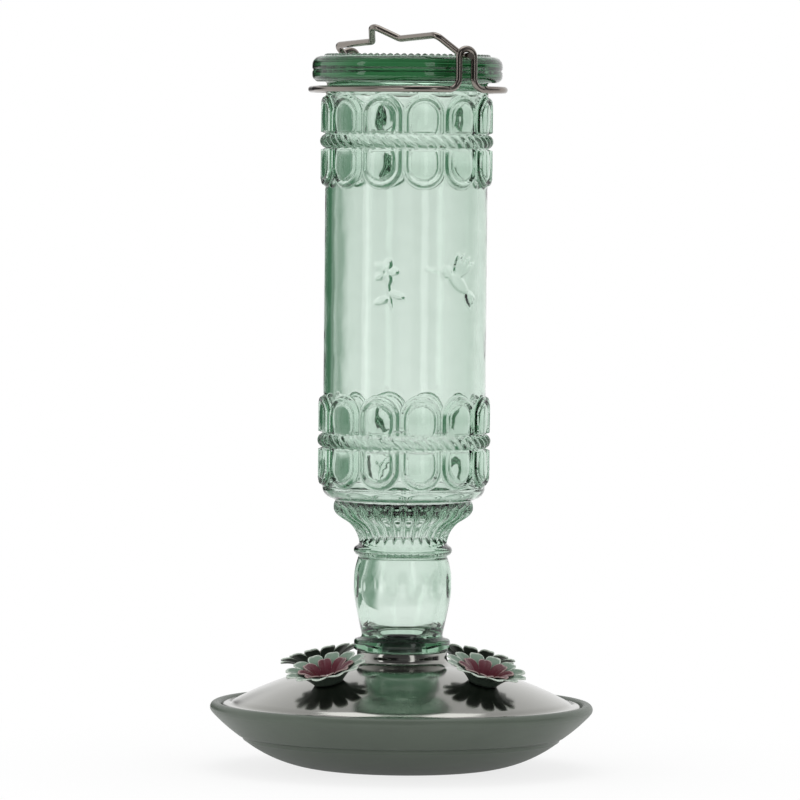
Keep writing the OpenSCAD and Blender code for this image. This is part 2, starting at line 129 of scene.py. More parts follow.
# The bottle's grid: its columns, and how many of them a coarse face takes. Rows marked FIGURE_ROWS lie
# across the figures. They are fine over FIGURE_SPAN, in degrees, and coarse elsewhere.
COLUMNS = 480
COARSE = 4
FIGURE_ROWS = -1
FIGURE_SPAN = (-126, -26)
FIGURE_LOW = PLAIN_Z + 28.5
FIGURE_HIGH = PLAIN_Z + 54.5
FIGURE_STEP = 9

WHITE = (1, 1, 1, 1)


# Small tools

def linear(code):
    """An sRGB hex colour as linear RGBA."""
    parts = [int(code[i:i + 2], 16) / 255 for i in (1, 3, 5)]
    return [c / 12.92 if c <= 0.04045 else ((c + 0.055) / 1.055) ** 2.4 for c in parts] + [1.0]


def add(tree, kind, values=None, links=None, **settings):
    """Adds a node, sets its own settings and socket values, and links sockets to other nodes' outputs."""
    node = tree.nodes.new(kind)
    for name, value in settings.items():
        setattr(node, name, value)
    for socket, value in (values or {}).items():
        node.inputs[socket].default_value = value
    for socket, source in (links or {}).items():
        tree.links.new(source, node.inputs[socket])
    return node


def new_material(name):
    """An empty node material's tree and the coordinates of the object that it is on."""
    material = bpy.data.materials.new(name)
    material.use_nodes = True
    tree = material.node_tree
    tree.nodes.clear()
    return material, tree, add(tree, "ShaderNodeTexCoord").outputs["Object"]


def link_object(name, mesh):
    """An object at the origin with a mesh, in the scene."""
    obj = bpy.data.objects.new(name, mesh)
    bpy.context.scene.collection.objects.link(obj)
    return obj


def evaluated_mesh(obj):
    """The mesh that an object's modifiers make, as a mesh of its own."""
    bpy.context.view_layer.update()
    return bpy.data.meshes.new_from_object(obj.evaluated_get(bpy.context.evaluated_depsgraph_get()))


def mesh_object(name, points, faces, material, smooth=True):
    """A mesh object from points in millimetres."""
    mesh = bpy.data.meshes.new(name)
    mesh.from_pydata([tuple(p) for p in np.asarray(points, float) * MM], [], [list(f) for f in faces])
    mesh.update()
    mesh.polygons.foreach_set("use_smooth", [smooth] * len(mesh.polygons))
    mesh.materials.append(material)
    return link_object(name, mesh)


def place(obj, body, slot, *nodes):
    """Gives a finished piece to its body and hides the solids that it stands for. slot is not used."""
    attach(obj, body)
    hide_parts(*nodes)


def arc(cx, cz, r, a, b, n):
    """Points of an arc from angle a to b, in degrees."""
    turns = [math.radians(a + (b - a) * i / n) for i in range(n + 1)]
    return [(cx + r * math.cos(t), cz + r * math.sin(t)) for t in turns]


def curve(a, b, c, n):
    """Points of a curve from a to c that heads for b, without a itself."""
    return [tuple((1 - t) ** 2 * p + 2 * t * (1 - t) * q + t * t * s for p, q, s in zip(a, b, c))
            for t in [i / n for i in range(1, n + 1)]]


def dome_z(r):
    """Height of the cover's dome at a radius."""
    return DOME_EDGE_Z - math.sqrt(DOME_R ** 2 - DOME_EDGE_R ** 2) + math.sqrt(DOME_R ** 2 - r ** 2)


def turned(name, profile, material, steps=192):
    """A closed profile of (radius, height) turned round the axis. Points on the axis become poles."""
    points, faces, rings = [], [], []
    for r, z in profile:
        if r < 1e-6:
            rings.append([len(points)])
            points.append((0, 0, z))
            continue
        rings.append(list(range(len(points), len(points) + steps)))
        turns = [2 * math.pi * i / steps for i in range(steps)]
        points += [(r * math.cos(t), r * math.sin(t), z) for t in turns]
    for a, b in zip(rings, rings[1:] + rings[:1]):
        if len(a) == 1 and len(b) == 1:
            continue
        for i in range(steps):
            j = (i + 1) % steps
            if len(a) == 1:
                faces.append((a[0], b[j], b[i]))
            elif len(b) == 1:
                faces.append((a[i], a[j], b[0]))
            else:
                faces.append((a[i], a[j], b[j], b[i]))
    return mesh_object(name, points, faces, material)


# Finishes. A noise's scale is one over the real size of its pattern.

def pressed_glass(colour, density):
    """Pressed soda-lime glass with a little iron green. The tint comes from the depth of glass that
    light crosses, so edges and the thick foot go dark. Swells of the pressing, about a centimetre
    across, softly bend what shows through."""
    material, tree, spot = new_material("pressed_green_glass")
    swell = add(tree, "ShaderNodeTexNoise", {"Scale": 1 / (10.526 * MM), "Detail": 1.5, "Roughness": 0.4},
                {"Vector": spot})
    bump = add(tree, "ShaderNodeBump", {"Strength": 0.22, "Distance": 0.6 * MM},
               {"Height": swell.outputs["Fac"]})
    glass = add(tree, "ShaderNodeBsdfPrincipled",
                {"Base Color": WHITE, "Roughness": 0.012, "IOR": 1.5, "Transmission Weight": 1.0},
                {"Normal": bump.outputs["Normal"]})
    depth = add(tree, "ShaderNodeVolumeAbsorption", {"Color": colour, "Density": density})
    add(tree, "ShaderNodeOutputMaterial", links={"Surface": glass.outputs[0], "Volume": depth.outputs[0]})
    return material


def baked_enamel(name, colour, worn, roughness):
    """Baked enamel on sheet steel: an even satin skin with a faint orange peel of one millimetre and
    paler clouds some 17 mm across, where it is rubbed and dusty."""
    material, tree, spot = new_material(name)
    cloud = add(tree, "ShaderNodeTexNoise", {"Scale": 1 / (16.667 * MM), "Detail": 3.0}, {"Vector": spot})
    share = add(tree, "ShaderNodeMapRange", {"From Min": 0.35, "From Max": 0.75, "To Max": 0.35},
                {"Value": cloud.outputs["Fac"]})
    tint = add(tree, "ShaderNodeMix", {6: colour, 7: worn}, {0: share.outputs[0]}, data_type="RGBA")
    peel = add(tree, "ShaderNodeTexNoise", {"Scale": 1 / (1.1111 * MM), "Detail": 2.0}, {"Vector": spot})
    bump = add(tree, "ShaderNodeBump", {"Strength": 0.08, "Distance": 0.1 * MM},
               {"Height": peel.outputs["Fac"]})
    paint = add(tree, "ShaderNodeBsdfPrincipled", {"Roughness": roughness, "IOR": 1.5},
                {"Base Color": tint.outputs[2], "Normal": bump.outputs["Normal"]})
    add(tree, "ShaderNodeOutputMaterial", links={"Surface": paint.outputs[0]})
    return material


def petal_enamel(name, inside, outside, pale):
    """Enamel on stamped petals, with painted shade: faces that turn down take the darker outside colour
    and faces that turn up keep the inside colour. Both are worn pale along the cut edges, where marks
    of about 1.4 mm break the paint up."""
    material, tree, spot = new_material(name)
    normal = add(tree, "ShaderNodeNewGeometry").outputs["Normal"]
    # Painted shade: a face that turns down in the world gets the darker outside colour, one that turns up the
    # inside colour
    facing = add(tree, "ShaderNodeSeparateXYZ", links={0: normal})
    lit_share = add(tree, "ShaderNodeMapRange", {"From Min": -0.15, "From Max": 0.25},
                {"Value": facing.outputs[2]})
    sides = add(tree, "ShaderNodeMix", {6: outside, 7: inside}, {0: lit_share.outputs[0]}, data_type="RGBA")
    edge = add(tree, "ShaderNodeAttribute", attribute_name="edge")
    marks = add(tree, "ShaderNodeTexNoise", {"Scale": 1 / (1.4286 * MM), "Detail": 3.0, "Roughness": 0.65},
                {"Vector": spot})
    uneven = add(tree, "ShaderNodeMath", {1: 0.42}, {0: marks.outputs["Fac"]}, operation="SUBTRACT")
    rub = add(tree, "ShaderNodeMath", {1: 0.75}, {0: edge.outputs["Fac"], 2: uneven.outputs[0]},
              operation="MULTIPLY_ADD")
    bare = add(tree, "ShaderNodeMapRange", {"From Min": 0.35, "From Max": 0.8}, {"Value": rub.outputs[0]})
    tint = add(tree, "ShaderNodeMix", {7: pale}, {0: bare.outputs[0], 6: sides.outputs[2]},
               data_type="RGBA")
    peel = add(tree, "ShaderNodeBump", {"Strength": 0.25, "Distance": 0.12 * MM},
               {"Height": marks.outputs["Fac"]})
    paint = add(tree, "ShaderNodeBsdfPrincipled",
                {"Roughness": 0.36, "IOR": 1.5, "Specular IOR Level": 0.35},
                {"Base Color": tint.outputs[2], "Normal": peel.outputs["Normal"]})
    add(tree, "ShaderNodeOutputMaterial", links={"Surface": paint.outputs[0]})
    return material


def plated_metal(name, colour, roughness, mark_size):
    """Plated sheet or wire: a mirror skin that rub marks of one size, in millimetres, make hazier."""
    material, tree, spot = new_material(name)
    haze = add(tree, "ShaderNodeTexNoise", {"Scale": 1 / (mark_size * MM), "Detail": 4.0, "Roughness": 0.6},
               {"Vector": spot})
    rough = add(tree, "ShaderNodeMapRange",
                {"From Min": 0.3, "From Max": 0.7, "To Min": roughness * 0.7, "To Max": roughness * 1.5},
                {"Value": haze.outputs["Fac"]})
    metal = add(tree, "ShaderNodeBsdfPrincipled", {"Base Color": colour, "Metallic": 1.0},
                {"Roughness": rough.outputs[0]})
    add(tree, "ShaderNodeOutputMaterial", links={"Surface": metal.outputs[0]})
    return material


def moulded_plastic(name, colour, roughness):
    """Moulded plastic or rubber: an even dark skin with a soft mould texture of about 1.4 mm."""
    material, tree, spot = new_material(name)
    skin = add(tree, "ShaderNodeTexNoise", {"Scale": 1 / (1.4286 * MM), "Detail": 2.0}, {"Vector": spot})
    bump = add(tree, "ShaderNodeBump", {"Strength": 0.1, "Distance": 0.1 * MM},
               {"Height": skin.outputs["Fac"]})
    plastic = add(tree, "ShaderNodeBsdfPrincipled",
                  {"Base Color": colour, "Roughness": roughness, "IOR": 1.5},
                  {"Normal": bump.outputs["Normal"]})
    add(tree, "ShaderNodeOutputMaterial", links={"Surface": plastic.outputs[0]})
    return material


# The bottle's skin

def step(x, low, high):
    """A smooth step from 0 at low to 1 at high."""
    t = np.clip((x - low) / (high - low), 0, 1)
    return t * t * (3 - 2 * t)


def around(angle, width):
    """An angle as its offset from the middle of the nearest of equal sectors, one of them at 0."""
    return (angle + width / 2) % width - width / 2


def arch_relief(angle, y):
    """Height of one arched panel over the body: a raised line round a domed pad. angle is from the
    panel's middle; y is from the rope."""
    half_w, height, pad_half_w, pad_foot = 7.55, 13.4, 5.5, 3.4
    line_h, pad_h, swell_h = 1.65, 0.9, 0.7
    x = np.radians(angle) * (BODY_R + 0.9)
    over = np.maximum(y - (height - half_w), 0)
    d = np.hypot(x, over) - half_w
    line = line_h * step(-d, -0.1, 1.35) * (1 - 0.75 * step(-d, 1.4, 2.0))
    pad_d = np.hypot(x, over + np.maximum(pad_foot - y, 0)) - pad_half_w
    swell = np.clip(1 - (x / 5.8) ** 2 - ((y - 6) / 6) ** 2, 0, 1)
    pad = step(-pad_d, -0.1, 0.9) * (pad_h + swell_h * swell)
    return np.maximum(line, pad)


def band_relief(angle, z, middle):
    """Height of a band of ornament: arched panels above and below a slanted rope."""
    rope_half, rope_room, slant, groove_h, strand_h = 2.3, 2.65, 1.75, 0.45, 1.45
    dz = z - middle
    y = np.abs(dz) - rope_room
    panels = arch_relief(around(angle - PANEL_TURN, PANEL_STEP), np.maximum(y, 0))
    round_rope = np.sqrt(np.clip(1 - (dz / rope_half) ** 2, 0, 1))
    strand = 0.5 + 0.5 * np.cos(np.radians(angle * ROPE_STRANDS) + dz * slant)
    rope = round_rope * (groove_h + strand_h * np.sqrt(strand))
    return np.maximum(np.where(y > 0, panels, 0), rope)


def leaf(x, y, at, turn, length, width):
    """Height from 0 to 1 of a pointed leaf drawn from a point towards a direction."""
    c, s = math.cos(math.radians(turn)), math.sin(math.radians(turn))
    u = (x - at[0]) * c + (y - at[1]) * s
    v = -(x - at[0]) * s + (y - at[1]) * c
    r = ((length / 2) ** 2 + (width / 2) ** 2) / width
    d = np.hypot(u - length / 2, np.abs(v) + r - width / 2) - r
    return step(-d, -0.25, 0.45)


def figure_relief(angle, z):
    """Height of the raised bird and plant on the plain wall: plain leaf shapes, drawn for this piece."""
    y = z - (PLAIN_Z + 0.6 * PLAIN_H)
    x = np.radians(angle - BIRD_TURN) * BODY_R
    bird = [leaf(x, y, (0, 0), -38, 12, 4.6), leaf(x, y, (0, 0), 172, 8, 0.9)]
    bird += [step(1.9 - np.hypot(x, y), -0.3, 0.5)]
    bird += [0.9 * leaf(x, y, (3, -2), a, 12.5 - a / 20, 2.4) for a in (28, 44, 60, 76)]
    bird += [0.9 * leaf(x, y, (8, -6.6), a, 6.5, 1.8) for a in (-62, -44, -26)]
    x = np.radians(angle - PLANT_TURN) * BODY_R
    plant = [leaf(x, y, (0, 0), a, 4.6, 2.6) for a in (0, 72, 144, 216, 288)]
    plant += [leaf(x, y, (0, 0), -80, 13, 0.9)]
    plant += [leaf(x, y, (1, -7), -20, 6, 2.2), leaf(x, y, (1.4, -9), 200, 6, 2.2)]
    return FIGURE_H * np.max(bird + plant, axis=0)


def bottle_skin(angle, r, z, outside):
    """Radius and height of the bottle's surface where its plain profile is (r, z)."""
    r, z = r.copy(), z.copy()
    for start in (LOW_BAND_Z, HIGH_BAND_Z):
        on = outside & (z > start) & (z < start + BAND_H)
        r[on] += band_relief(angle[on], z[on], start + BAND_H / 2)
    on = outside & (z > PLAIN_Z) & (z < HIGH_BAND_Z)
    r[on] += figure_relief(angle[on], z[on])
    # Flutes: scooped cuts with thin ribs between them, which run out at both ends of the bowl
    on = outside & (z > WAIST_Z + 0.3) & (z < BOWL_TOP_Z)
    t = (z[on] - WAIST_Z) / (BOWL_TOP_Z - WAIST_Z)
    scoop = np.abs(np.sin(np.radians(angle[on]) * FLUTES / 2))
    depth = FLUTE_DEPTH * step(t, 0.02, 0.2) * (1 - step(t, 0.8, 0.98))
    r[on] -= depth * np.sqrt(step(scoop, 0.05, 0.9))
    # Twelve flat faces round the neck's bulb
    on = outside & (z > RING_TOP + 3) & (z < BEAD_Z - 2)
    flat = (BULB_R - 0.35) / np.cos(np.radians(around(angle[on], 30)))
    r[on] = np.minimum(r[on], flat)
    # Bumps that the bottle would stand on
    on = outside & (z > BOTTLE_TOP - 0.35) & (np.abs(r - BUMP_RING_R) < 1.2)
    wave = 0.5 + 0.5 * np.cos(np.radians(angle[on] * BUMPS))
    z[on] += 0.75 * np.sqrt(np.clip(1 - ((r[on] - BUMP_RING_R) / 0.95) ** 2, 0, 1) * wave)
    return r, z


def bottle_path():
    """The bottle's plain profile from the lip up the outside, and from the top of the hollow down to
    the lip. Each row is (radius, height, columns to a face)."""
    outside, inside = [], []

    def run(points, columns, rows=outside):
        rows.extend((p[0], p[1], columns) for p in points)

    # Lip, finish, and the ring above it
    run([(11.3, LIP_Z), (11.9, LIP_Z + 0.6), (11.9, BOTTLE_Z - 0.3), (12.2, BOTTLE_Z), (16.2, BOTTLE_Z),
         (16.7, BOTTLE_Z + 0.5), (16.7, RING_TOP - 0.8), (16.4, RING_TOP - 0.25), (15.9, RING_TOP),
         (14.3, RING_TOP + 0.5), (14.0, RING_TOP + 1.2)], COARSE)
    # Bulb of the neck, and the bead above it
    widest = (17.1, RING_TOP + 0.56 * BULB_H)
    run(curve((14.0, RING_TOP + 1.2), (15.4, RING_TOP + 0.25 * BULB_H), widest, 9), COARSE)
    run(curve(widest, (17.8, RING_TOP + 0.72 * BULB_H), (15.4, BEAD_Z - 0.3), 10), COARSE)
    run(arc(15.4, BEAD_Z + NECK_BEAD_R, NECK_BEAD_R, -75, 75, 8), COARSE)
    # Fluted bowl
    low = (WAIST_R, WAIST_Z + 0.6)
    knee = ((WAIST_R + BOWL_R) / 2 + 0.8, WAIST_Z + 0.56 * (BOWL_TOP_Z - WAIST_Z))
    run([low], 1)
    run(curve(low, (15.9, WAIST_Z + 6.2), knee, 10), 1)
    run(curve(knee, (BOWL_R, WAIST_Z + 10.6), (BOWL_R, WAIST_Z + 13.1), 6), 1)
    run([(24.1, WAIST_Z + 14.2), (23.8, BOWL_TOP_Z - 0.5), (23.7, BOWL_TOP_Z), (24.4, BOWL_TOP_Z + 0.4),
         (25.6, BOWL_TOP_Z + 0.9)], 2)
    run(curve((25.6, BOWL_TOP_Z + 0.9), (27.9, BOWL_TOP_Z + 1.8), (BODY_R, LOW_BAND_Z), 6), 1)
    # Body: low band, plain wall with the figures, high band
    run([(BODY_R, z) for z in np.linspace(LOW_BAND_Z, LOW_BAND_Z + BAND_H, 60)], 1)
    run([(BODY_R, z) for z in np.linspace(PLAIN_Z + 0.7, FIGURE_LOW - 0.5, 5)], COARSE)
    run([(BODY_R, z) for z in np.linspace(FIGURE_LOW, FIGURE_HIGH, 53)], FIGURE_ROWS)
    run([(BODY_R, z) for z in np.linspace(FIGURE_HIGH + 1.5, HIGH_BAND_Z - 0.7, 4)], COARSE)
    run([(BODY_R, z) for z in np.linspace(HIGH_BAND_Z, HIGH_BAND_Z + BAND_H, 60)], 1)
    # Groove for the wire, and the flange with its fine parting line
    run([(27.9, GROOVE_Z + 0.3), (27.9, FLANGE_Z - 0.5), (28.4, FLANGE_Z), (31.3, FLANGE_Z)], COARSE)
    run(arc(FLANGE_R - FLANGE_FOOT_R, FLANGE_Z + FLANGE_FOOT_R, FLANGE_FOOT_R, -60, 0, 5), COARSE)
    run([(FLANGE_R, FLANGE_Z + 3.5), (FLANGE_R - 0.3, FLANGE_Z + 3.9), (FLANGE_R - 0.3, FLANGE_Z + 4.3),
         (FLANGE_R, FLANGE_Z + 4.7)], COARSE)
    top = (FLANGE_R - FLANGE_TOP_R, BOTTLE_TOP - FLANGE_TOP_R)
    run(arc(*top, FLANGE_TOP_R, 0, 60, 6), COARSE)
    run([(top[0] + FLANGE_TOP_R * math.cos(math.radians(75)), BOTTLE_TOP - 0.12)], 1)
    # Base with its ring of bumps, and the push-up in the middle
    run([(r, BOTTLE_TOP) for r in (29.3, 28.95, 28.6, 28.3, 28.0, 27.7, 27.4, 27.05, 26.7)], 1)
    run([(25.6, BOTTLE_TOP)], COARSE)
    run(curve((25.6, BOTTLE_TOP), (22, BOTTLE_TOP - PUSH_UP), (18, BOTTLE_TOP - PUSH_UP), 6), COARSE)
    run([(10, BOTTLE_TOP - PUSH_UP), (0.6, BOTTLE_TOP - PUSH_UP)], COARSE)
    # The hollow
    edge = (CAVITY_R - CAVITY_EDGE_R, CAVITY_TOP - CAVITY_EDGE_R)
    bowl = (19.8, WAIST_Z + 13.1)
    run([(0.6, CAVITY_TOP), (10, CAVITY_TOP), (edge[0], CAVITY_TOP)], COARSE, inside)
    run(arc(*edge, CAVITY_EDGE_R, 80, 0, 7), COARSE, inside)
    run([(CAVITY_R, z) for z in (210, 185, 160, 135, 110, LOW_BAND_Z + 1)], COARSE, inside)
    run(curve((CAVITY_R, LOW_BAND_Z + 1), (CAVITY_R, BOWL_TOP_Z - 1), bowl, 6), COARSE, inside)
    run(curve(bowl, (WAIST_R - 3.6, WAIST_Z + 9.36), (WAIST_R - 3.8, WAIST_Z), 7), COARSE, inside)
    run(curve((WAIST_R - 3.8, BEAD_Z), (15.8, RING_TOP + 0.62 * BULB_H), (10.8, RING_TOP + 0.12 * BULB_H), 8),
        COARSE, inside)
    run([(MOUTH_R, RING_TOP), (MOUTH_R, LIP_Z)], COARSE, inside)
    return outside, inside


def bottle_cells(widths, open_row):
    """The bottle's faces on its grid, as (first column, last column, first row, last row). widths
    holds each row's columns to a face; nothing joins open_row to the row after it."""
    first, last = (int((360 + turn) / 360 * COLUMNS) // COARSE * COARSE for turn in FIGURE_SPAN)
    patch = range(first, last)
    cells = []
    row = 0
    while row < len(widths):
        if widths[row] == FIGURE_ROWS:
            end = next(i for i in range(row, len(widths)) if widths[i] != FIGURE_ROWS)
            for i in range(row, end):
                cells += [(c, c + 1, i, i + 1) for c in patch]
            for low in range(row, end, FIGURE_STEP):
                high = min(low + FIGURE_STEP, end)
                cells += [(c, c + COARSE, low, high) for c in range(0, COLUMNS, COARSE) if c not in patch]
            row = end
            continue
        if row != open_row:
            after = widths[(row + 1) % len(widths)]
            width = widths[row] if after == FIGURE_ROWS else min(widths[row], after)
            cells += [(c, c + width, row, row + 1) for c in range(0, COLUMNS, width)]
        row += 1
    return cells


def bottle_mesh(material):
    """Builds the bottle on a grid of columns and rows that is fine only where there is relief."""
    outside, inside = bottle_path()
    rows = outside + inside
    count = len(rows)
    cells = bottle_cells([row[2] for row in rows], len(outside) - 1)
    present = np.zeros((count, COLUMNS), bool)
    for c0, c1, r0, r1 in cells:
        for c in (c0, c1):
            for r in (r0, r1):
                present[r % count, c % COLUMNS] = True
    at = np.argwhere(present)
    index = -np.ones((count, COLUMNS), int)
    index[at[:, 0], at[:, 1]] = np.arange(len(at))
    angle = at[:, 1] * 360.0 / COLUMNS
    angle = np.where(angle > 180, angle - 360, angle)
    plain_r = np.array([rows[k][0] for k in at[:, 0]])
    plain_z = np.array([rows[k][1] for k in at[:, 0]])
    r, z = bottle_skin(angle, plain_r, plain_z, at[:, 0] < len(outside))
    points = np.stack([r * np.cos(np.radians(angle)), r * np.sin(np.radians(angle)), z], 1)
    faces = []
    for c0, c1, r0, r1 in cells:
        border = [(r0, c) for c in range(c0, c1 + 1)] + [(r, c1) for r in range(r0 + 1, r1)]
        border += [(r1, c) for c in range(c1, c0 - 1, -1)] + [(r, c0) for r in range(r1 - 1, r0, -1)]
        corners = [index[r % count, c % COLUMNS] for r, c in border]
        faces.append([k for k in corners if k >= 0])
    # The small flat in the middle of the base, and the one in the roof of the hollow
    faces.append([k for k in index[len(outside) - 1] if k >= 0])
    faces.append([k for k in index[len(outside)] if k >= 0][::-1])
    return mesh_object("bottle_glass", points, faces, material)


# Wire and petals

def new_group(name, numbers, takes_mesh=False):
    """A Geometry Nodes tree with a geometry output, a named input for each number and, where asked,
    a geometry input, which has to come first."""
    tree = bpy.data.node_groups.new(name, "GeometryNodeTree")
    tree.interface.new_socket("Geometry", in_out="OUTPUT", socket_type="NodeSocketGeometry")
    if takes_mesh:
        tree.interface.new_socket("Geometry", in_out="INPUT", socket_type="NodeSocketGeometry")
    for label, value in numbers.items():
        kind = "NodeSocketInt" if isinstance(value, int) else "NodeSocketFloat"
        tree.interface.new_socket(label, in_out="INPUT", socket_type=kind).default_value = value
    return tree


def realise(name, tree, inputs, mesh=None):
    """Runs a tree on a mesh, or on none, and keeps the result as a plain mesh."""
    holder = link_object(name + "_tree", mesh or bpy.data.meshes.new(name + "_tree"))
    modifier = holder.modifiers.new("tree", "NODES")
    modifier.node_group = tree
    ids = {s.name: s.identifier for s in tree.interface.items_tree if s.in_out == "INPUT"}
    for label, value in inputs.items():
        modifier[ids[label]] = value
    made = evaluated_mesh(holder)
    bpy.data.objects.remove(holder)
    return link_object(name, made)


# Share of the petal's rows that lie in the hub
HUB_SHARE = 0.143

# The petal's shape, as (name, operation, inputs). An input is a number, a row above, a named input of
# the tree, or one of the fields that petal_tree adds: x and y are the flat grid's, from -0.5 to 0.5.
PETAL_SHAPE = (
    # along is 0 at the hub's hole and 1 at the cut edge; across is from -1 to 1
    ("along", "ADD", "x", 0.5),
    ("half turn", "MULTIPLY", "y", math.pi),
    ("across", "SINE", "half turn"),
    ("off middle", "ABSOLUTE", "across"),
    # The petal's end, as a share of the way from hub to tip, falls to the notch at the sides
    ("sides", "POWER", "off middle", 2.4),
    ("falling", "SUBTRACT", 1.0, "sides"),
    ("fallen", "MAXIMUM", "falling", 0.0),
    ("round end", "POWER", "fallen", 0.45),
    ("tongue", "SUBTRACT", 1.0, "Notch"),
    ("end", "MULTIPLY_ADD", "round end", "tongue", "Notch"),
    # t is 0 at the hub's edge; near, mid and far weigh a curve's three points
    ("past hub", "SUBTRACT", "along", HUB_SHARE),
    ("blade share", "DIVIDE", "past hub", 1 - HUB_SHARE),
    ("on blade", "MAXIMUM", "blade share", 0.0),
    ("t", "MULTIPLY", "on blade", "end"),
    ("left", "SUBTRACT", 1.0, "t"),
    ("near", "MULTIPLY", "left", "left"),
    ("half mid", "MULTIPLY", "t", "left"),
    ("mid", "MULTIPLY", "half mid", 2.0),
    ("far", "MULTIPLY", "t", "t"),
    # Radius: a curve from the hub's edge to the tip, drawn in to the hole inside the hub
    ("blade", "SUBTRACT", "Reach", "Hub Radius"),
    ("knee", "MULTIPLY_ADD", "blade", 0.38, "Hub Radius"),
    ("near r", "MULTIPLY", "near", "Hub Radius"),
    ("mid r", "MULTIPLY_ADD", "mid", "knee", "near r"),
    ("blade r", "MULTIPLY_ADD", "far", "Reach", "mid r"),
    ("hub share", "DIVIDE", "along", HUB_SHARE),
    ("hub left", "SUBTRACT", 1.0, "hub share"),
    ("in hub", "MAXIMUM", "hub left", 0.0),
    ("hub width", "SUBTRACT", "Hub Radius", "Hole Radius"),
    ("hub r", "MULTIPLY", "in hub", "hub width"),
    ("radius", "SUBTRACT", "blade r", "hub r"),
    # Height: a curve from base to rise, with raised sides and a crease down the middle
    ("knee z", "MULTIPLY", "Rise", 0.9),
    ("near z", "MULTIPLY", "near", "Base"),
    ("mid z", "MULTIPLY_ADD", "mid", "knee z", "near z"),
    ("blade z", "MULTIPLY_ADD", "far", "Rise", "mid z"),
    ("cup at t", "MULTIPLY", "Cup", "t"),
    ("square", "MULTIPLY", "across", "across"),
    ("cupped z", "MULTIPLY_ADD", "square", "cup at t", "blade z"),
    ("crease side", "MULTIPLY_ADD", "off middle", -3.5, 1.0),
    ("in crease", "MAXIMUM", "crease side", 0.0),
    ("from hub", "MULTIPLY", "t", 5.0),
    ("full crease", "MINIMUM", "from hub", 1.0),
    ("crease at t", "MULTIPLY", "Crease", "full crease"),
    ("fold", "MULTIPLY", "in crease", "crease at t"),
    ("height", "SUBTRACT", "cupped z", "fold"),
    # The petal's sector of the ring
    ("half sector", "MULTIPLY", "across", math.pi),
    ("angle", "DIVIDE", "half sector", "Petals"),
    ("cos", "COSINE", "angle"),
    ("sin", "SINE", "angle"),
    ("place x", "MULTIPLY", "radius", "cos"),
    ("place y", "MULTIPLY", "radius", "sin"),
    # Wear is near the cut edge, in the last of the rows
    ("last rows", "SUBTRACT", "along", 0.86),
    ("in last rows", "MAXIMUM", "last rows", 0.0),
    ("edge slope", "MULTIPLY", "in last rows", 7.0),
    ("edge", "MINIMUM", "edge slope", 1.0),
    ("one turn", "DIVIDE", 2 * math.pi, "Petals"),
    ("turn", "MULTIPLY", "index", "one turn"),
    # Hand-set petals stand a little unevenly, more towards their tips
    ("share", "DIVIDE", "length", "Reach"),
    ("share square", "MULTIPLY", "share", "share"),
    ("sway", "SUBTRACT", "noise", 0.5),
    ("tip lift", "MULTIPLY", "sway", "Unevenness"),
    ("lift", "MULTIPLY", "tip lift", "share square"))


def petal_tree(material):
    """A cup of petals round a flat hub, as one sheet. One petal's sector is a grid whose rows run from
    the hub's hole out to a rounded end; the sectors meet edge to edge below the notches. The point
    attribute "edge" is 1 at each petal's cut edge and 0 along its middle."""
    sizes = {"Petals": 12, "Hole Radius": 2.15, "Hub Radius": 5.0, "Reach": 14.2, "Base": 0.65,
             "Rise": 6.2, "Notch": 0.4, "Cup": 0.5, "Crease": 0.2, "Unevenness": 0.4}
    tree = new_group("petal_cup", sizes)
    given = add(tree, "NodeGroupInput").outputs
    where = add(tree, "GeometryNodeInputPosition").outputs[0]
    flat = add(tree, "ShaderNodeSeparateXYZ", links={0: where}).outputs
    length = add(tree, "ShaderNodeVectorMath", links={0: where}, operation="LENGTH").outputs["Value"]
    noise = add(tree, "ShaderNodeTexNoise", {"Scale": 0.13, "Detail": 0.0}).outputs[0]
    index = add(tree, "GeometryNodeInputIndex").outputs[0]
    known = {"x": flat[0], "y": flat[1], "length": length, "noise": noise, "index": index}
    known.update((label, given[label]) for label in sizes)
    for name, operation, *inputs in PETAL_SHAPE:
        numbers = {i: value for i, value in enumerate(inputs) if not isinstance(value, str)}
        links = {i: known[value] for i, value in enumerate(inputs) if isinstance(value, str)}
        known[name] = add(tree, "ShaderNodeMath", numbers, links, operation=operation).outputs[0]
    spot = add(tree, "ShaderNodeCombineXYZ",
               links={0: known["place x"], 1: known["place y"], 2: known["height"]})
    grid = add(tree, "GeometryNodeMeshGrid",
               {"Size X": 1.0, "Size Y": 1.0, "Vertices X": 15, "Vertices Y": 17})
    # The wear is stored while the grid is still flat
    marked = add(tree, "GeometryNodeStoreNamedAttribute", {"Name": "edge"},
                 {"Geometry": grid.outputs[0], "Value": known["edge"]}, data_type="FLOAT")
    petal = add(tree, "GeometryNodeSetPosition",
                links={"Geometry": marked.outputs[0], "Position": spot.outputs[0]})
    ring = add(tree, "GeometryNodeMeshCircle", {"Radius": 0.0}, {"Vertices": given["Petals"]})
    spin = add(tree, "ShaderNodeCombineXYZ", links={2: known["turn"]})
    many = add(tree, "GeometryNodeInstanceOnPoints",
               links={"Points": ring.outputs[0], "Instance": petal.outputs[0], "Rotation": spin.outputs[0]})
    real = add(tree, "GeometryNodeRealizeInstances", links={0: many.outputs[0]})
    joined = add(tree, "GeometryNodeMergeByDistance", {"Distance": 0.002}, {"Geometry": real.outputs[0]})
    up = add(tree, "ShaderNodeCombineXYZ", links={2: known["lift"]})
    lifted = add(tree, "GeometryNodeSetPosition",
                 links={"Geometry": joined.outputs[0], "Offset": up.outputs[0]})
    smooth = add(tree, "GeometryNodeSetShadeSmooth", links={0: lifted.outputs[0]})
    painted = add(tree, "GeometryNodeSetMaterial", {"Material": material}, {"Geometry": smooth.outputs[0]})
    add(tree, "NodeGroupOutput", links={"Geometry": painted.outputs[0]})
    return tree


